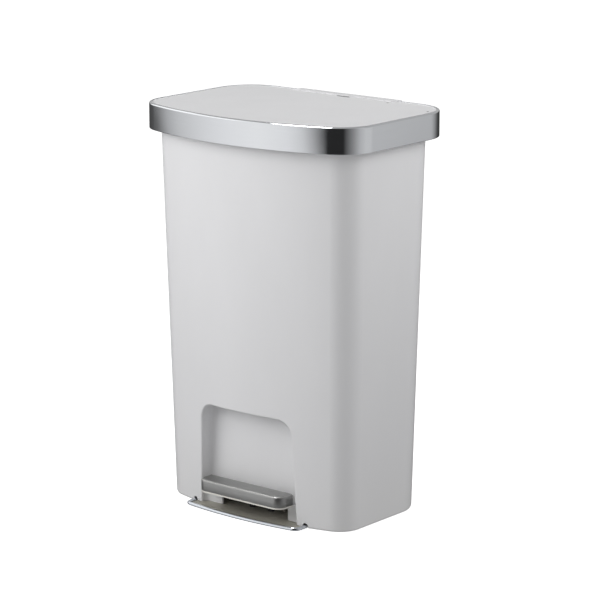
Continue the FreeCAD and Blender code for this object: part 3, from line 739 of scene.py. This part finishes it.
class CAN_OT_hinge(bpy.types.Operator):
    """Finish the hinge bracket, pin, bushes and cover"""

    bl_idname = "pedal_can.hinge"
    bl_label = "Hinge"
    bl_options = {"REGISTER", "UNDO"}

    def execute(self, context):
        dress("hinge_cover", "lid_white")
        dress("hinge_bracket", "zinc_steel", sizes().crisp_edge)
        dress("hinge_pin", "steel_rod", sizes().crisp_edge)
        for side in ("left", "right"):
            dress("hinge_bush_" + side, "nylon")
        return {"FINISHED"}


class CAN_OT_pedal(bpy.types.Operator):
    """Make the pedal's steel skin and finish its base, lever and pivot"""

    bl_idname = "pedal_can.pedal"
    bl_label = "Pedal"
    bl_options = {"REGISTER", "UNDO"}

    def execute(self, context):
        make_pedal_skin()
        dress("pedal_base", "cream_plastic", sizes().soft_edge)
        dress("pedal_lever", "zinc_steel", sizes().crisp_edge)
        dress("pedal_axle", "steel_rod", sizes().crisp_edge)
        dress("lever_nose_pad", "nylon", sizes().crisp_edge)
        for side in ("left", "right"):
            dress("pedal_bush_" + side, "nylon")
            dress("pedal_stop_pad_" + side, "soft_rubber")
        return {"FINISHED"}


class CAN_OT_rod(bpy.types.Operator):
    """Finish the push rod, its ends and its guides"""

    bl_idname = "pedal_can.rod"
    bl_label = "Push rod"
    bl_options = {"REGISTER", "UNDO"}

    def execute(self, context):
        dress("push_rod", "steel_rod")
        dress("crank_pin", "steel_rod")
        for name in ("rod_foot", "rod_head", "rod_guide_lower", "rod_guide_upper"):
            dress(name, "nylon", sizes().crisp_edge)
        return {"FINISHED"}


class CAN_OT_base(bpy.types.Operator):
    """Finish the base plate, feet and floor bar"""

    bl_idname = "pedal_can.base"
    bl_label = "Base"
    bl_options = {"REGISTER", "UNDO"}

    def execute(self, context):
        dress("base_plate", "grey_plastic", sizes().crisp_edge)
        dress("floor_bar", "chrome_wire")
        for side in ("left", "right"):
            dress("floor_bar_clip_" + side, "nylon", sizes().crisp_edge)
            for end in ("front", "rear"):
                dress("rubber_foot_" + end + "_" + side, "soft_rubber")
        return {"FINISHED"}


class CAN_OT_screws(bpy.types.Operator):
    """Make threaded screws in place of the plain ones"""

    bl_idname = "pedal_can.screws"
    bl_label = "Screws"
    bl_options = {"REGISTER", "UNDO"}

    def execute(self, context):
        for name in NODES:
            if name.endswith("_screws"):
                make_screws(name)
        return {"FINISHED"}


# ---------------------------------------------------------------- studio


def studio_surface(name, paint, emission):
    """A matt studio surface with a glow of its own."""
    material = bpy.data.materials.new(name)
    material.use_nodes = True
    shader = material.node_tree.nodes["Principled BSDF"]
    shader.inputs["Base Color"].default_value = (*paint, 1.0)
    shader.inputs["Roughness"].default_value = 0.9
    shader.inputs["Specular IOR Level"].default_value = 0.0
    shader.inputs["Emission Color"].default_value = (1.0, 1.0, 1.0, 1.0)
    shader.inputs["Emission Strength"].default_value = emission
    return material


def soft_light(name, azimuth, elevation, distance, size, power, aim=0.33, spread=180.0):
    """A square soft light aimed at a height on the can's middle line."""
    lamp = bpy.data.lights.new(name, "AREA")
    lamp.shape = "SQUARE"
    lamp.size = size
    lamp.energy = power
    lamp.spread = math.radians(spread)
    made = bpy.data.objects.new(name, lamp)
    bpy.context.scene.collection.objects.link(made)
    turn = math.radians(azimuth)
    rise = math.radians(elevation)
    away = Vector((math.sin(turn) * math.cos(rise), -math.cos(turn) * math.cos(rise), math.sin(rise)))
    made.location = Vector((0, 0, aim)) + away * distance
    made.rotation_mode = "QUATERNION"
    made.rotation_quaternion = away.to_track_quat("Z", "Y")
    made.visible_glossy = False
    return made


def curved_screen(radius, start, end, low, high, steps):
    """An upright screen that curves round the can from one angle to another, between two heights."""
    shape = bmesh.new()
    rings = [[], []]
    for i in range(steps + 1):
        turn = math.radians(start + (end - start) * i / steps)
        for ring, z in zip(rings, (low, high)):
            ring.append(shape.verts.new((radius * math.sin(turn), -radius * math.cos(turn), z)))
    for i in range(steps):
        shape.faces.new((rings[0][i], rings[0][i + 1], rings[1][i + 1], rings[1][i]))
    return shape


def finish_screen(name, shape, material):
    """Makes a studio screen from its shape; only polished surfaces see it."""
    mesh = bpy.data.meshes.new(name)
    shape.to_mesh(mesh)
    shape.free()
    mesh.materials.append(material)
    screen = bpy.data.objects.new(name, mesh)
    bpy.context.scene.collection.objects.link(screen)
    only_in_reflections(screen)


def glow(name, strength):
    """A black surface that glows white."""
    return studio_surface(name, (0.0, 0.0, 0.0), strength)


def reflector_wall():
    """A round wall of light and dark, for the polished band to reflect."""
    wall = curved_screen(WALL_RADIUS, 0, 360, WALL_LOW, WALL_HIGH, 180)
    finish_screen("reflector_wall", wall, reflector_paint())


def glow_screen(name, start, end, strength):
    """A glowing screen above eye level between two angles round the can."""
    screen = curved_screen(SCREEN_RADIUS, start, end, SCREEN_LOW, SCREEN_RADIUS, 24)
    finish_screen(name, screen, glow(name, strength))


def glow_ceiling(name, centre, radius, height, strength):
    """A round glowing ceiling."""
    shape = bmesh.new()
    place = Matrix.Translation((*centre, height))
    bmesh.ops.create_circle(shape, cap_ends=True, radius=radius, segments=64, matrix=place)
    finish_screen(name, shape, glow(name, strength))


def only_in_reflections(screen):
    """Keeps a studio screen out of everything but polished surfaces."""
    screen.visible_camera = False
    screen.visible_diffuse = False
    screen.visible_shadow = False
    screen.visible_transmission = False


# The reflector wall and the screens inside it, in metres.
WALL_RADIUS = 6.0
WALL_LOW = -4.0
WALL_HIGH = 6.0
SCREEN_RADIUS = 5.9
SCREEN_LOW = 1.0

# Brightness of the reflector wall at each angle round the can: 0 is the front, 90 the right side.
WALL_GLOW = [
    (-180, 0.06), (-134, 0.05), (-84, 0.10), (-78, 0.16), (-71, 0.50), (-64, 0.68), (-50, 0.86), (-38, 0.96),
    (-26, 1.01), (-14, 0.93), (-8, 0.78), (-3, 0.43), (1, 0.05), (3, 0.025), (47, 0.025), (55, 0.11),
    (61, 0.17), (75, 0.31), (94, 0.55), (113, 0.67), (130, 0.66), (141, 0.575), (155, 0.40), (171, 0.15),
    (180, 0.06),
]


def reflector_paint():
    """Light that changes with the angle round the can, as WALL_GLOW says."""
    material = bpy.data.materials.new("reflector wall")
    material.use_nodes = True
    nodes = material.node_tree.nodes
    links = material.node_tree.links
    nodes.clear()
    place = nodes.new("ShaderNodeTexCoord")
    turned = nodes.new("ShaderNodeMapping")
    turned.inputs["Rotation"].default_value = (0.0, 0.0, math.pi / 2)
    around = nodes.new("ShaderNodeTexGradient")
    around.gradient_type = "RADIAL"
    ramp = nodes.new("ShaderNodeValToRGB")
    glow = nodes.new("ShaderNodeEmission")
    out = nodes.new("ShaderNodeOutputMaterial")
    links.new(place.outputs["Object"], turned.inputs["Vector"])
    links.new(turned.outputs["Vector"], around.inputs["Vector"])
    links.new(around.outputs["Fac"], ramp.inputs["Fac"])
    links.new(ramp.outputs["Color"], glow.inputs["Color"])
    links.new(glow.outputs["Emission"], out.inputs["Surface"])
    stops = ramp.color_ramp.elements
    while len(stops) > 1:
        stops.remove(stops[-1])
    top = max(value for angle, value in WALL_GLOW)
    glow.inputs["Strength"].default_value = top
    for i, (angle, value) in enumerate(WALL_GLOW):
        stop = stops[0] if i == 0 else stops.new((angle + 180) / 360)
        level = value / top
        stop.color = (level, level, level * 1.01 if level < 0.99 else level, 1.0)
    return material


class CAN_OT_studio(bpy.types.Operator):
    """Make the pale floor, the soft lights and the camera"""

    bl_idname = "pedal_can.studio"
    bl_label = "Studio"
    bl_options = {"REGISTER", "UNDO"}

    def execute(self, context):
        self.make_floor()
        self.make_lights()
        self.make_camera()
        return {"FINISHED"}

    def make_floor(self):
        shape = bmesh.new()
        bmesh.ops.create_grid(shape, x_segments=1, y_segments=1, size=40.0)
        mesh = bpy.data.meshes.new("floor")
        shape.to_mesh(mesh)
        shape.free()
        floor = bpy.data.objects.new("floor", mesh)
        bpy.context.scene.collection.objects.link(floor)
        mesh.materials.append(studio_surface("pale floor", studio().floor, 0.8))
        floor.visible_glossy = False
        floor.visible_diffuse = False

    def make_lights(self):
        lamps = studio()
        front, side, top, recess = lamps.front_light, lamps.side_light, lamps.top_light, lamps.recess_light
        soft_light("front_light", -32, 18, distance=1.8, size=1.6, power=front, aim=0.88, spread=100)
        soft_light("side_light", 126, 19, distance=1.6, size=1.1, power=side, aim=0.98, spread=80)
        soft_light("top_light", -20, 84, distance=2.6, size=2.2, power=top)
        soft_light("recess_light", 62, 8, distance=2.4, size=1.2, power=recess, aim=0.30, spread=120)
        reflector_wall()
        glow_screen("far_glow", 110, 260, lamps.sky)
        glow_screen("left_glow", 260, 325, 2.6 * lamps.sky)
        glow_ceiling("ceiling_glow", (0, 0), 5.98, 5.95, 0.9 * lamps.sky)
        glow_ceiling("ceiling_panel", (-1.5, -2.0), 1.3, 5.85, 30.0 * lamps.sky)
        world = bpy.data.worlds.new("studio air")
        world.use_nodes = True
        bpy.context.scene.world = world
        air = world.node_tree.nodes["Background"]
        air.inputs["Color"].default_value = (1.0, 1.0, 1.0, 1.0)
        rays = world.node_tree.nodes.new("ShaderNodeLightPath")
        seen = world.node_tree.nodes.new("ShaderNodeMapRange")
        seen.inputs["To Min"].default_value = studio().fill
        seen.inputs["To Max"].default_value = 1.0
        world.node_tree.links.new(rays.outputs["Is Camera Ray"], seen.inputs["Value"])
        world.node_tree.links.new(seen.outputs["Result"], air.inputs["Strength"])

    def make_camera(self):
        lens = bpy.data.cameras.new("camera")
        lens.lens = studio().lens
        lens.sensor_width = 36.0
        camera = bpy.data.objects.new("camera", lens)
        bpy.context.scene.collection.objects.link(camera)
        camera.location = studio().camera_from
        camera.rotation_mode = "QUATERNION"
        camera.rotation_quaternion = Vector(studio().camera_towards).to_track_quat("-Z", "Y")
        bpy.context.scene.camera = camera
        bpy.context.scene.view_settings.view_transform = "Standard"


# ---------------------------------------------------------------- panel and registration

STEPS = ["body", "lid", "lid_inside", "hinge", "pedal", "rod", "base", "screws", "studio"]


class CAN_PT_maker(bpy.types.Panel):
    """Lists the steps that make the can"""

    bl_label = "Pedal Can"
    bl_idname = "CAN_PT_maker"
    bl_space_type = "VIEW_3D"
    bl_region_type = "UI"
    bl_category = "Pedal Can"

    def draw(self, context):
        for step in STEPS:
            self.layout.operator("pedal_can." + step)
        for group in (context.scene.can_colours, context.scene.can_sizes, context.scene.can_studio):
            box = self.layout.box()
            for name in group.bl_rna.properties.keys():
                if name not in ("rna_type", "name"):
                    box.prop(group, name)


CLASSES = (
    CanColours, CanSizes, StudioSettings, CAN_OT_body, CAN_OT_lid, CAN_OT_lid_inside, CAN_OT_hinge,
    CAN_OT_pedal, CAN_OT_rod, CAN_OT_base, CAN_OT_screws, CAN_OT_studio, CAN_PT_maker,
)


def register():
    for kind in CLASSES:
        bpy.utils.register_class(kind)
    bpy.types.Scene.can_colours = bpy.props.PointerProperty(type=CanColours)
    bpy.types.Scene.can_sizes = bpy.props.PointerProperty(type=CanSizes)
    bpy.types.Scene.can_studio = bpy.props.PointerProperty(type=StudioSettings)


def unregister():
    del bpy.types.Scene.can_colours
    del bpy.types.Scene.can_sizes
    del bpy.types.Scene.can_studio
    for kind in reversed(CLASSES):
        bpy.utils.unregister_class(kind)


def main():
    """Makes the can and its studio."""
    register()
    for step in STEPS:
        getattr(bpy.ops.pedal_can, step)()


if __name__ == "__main__":
    main()
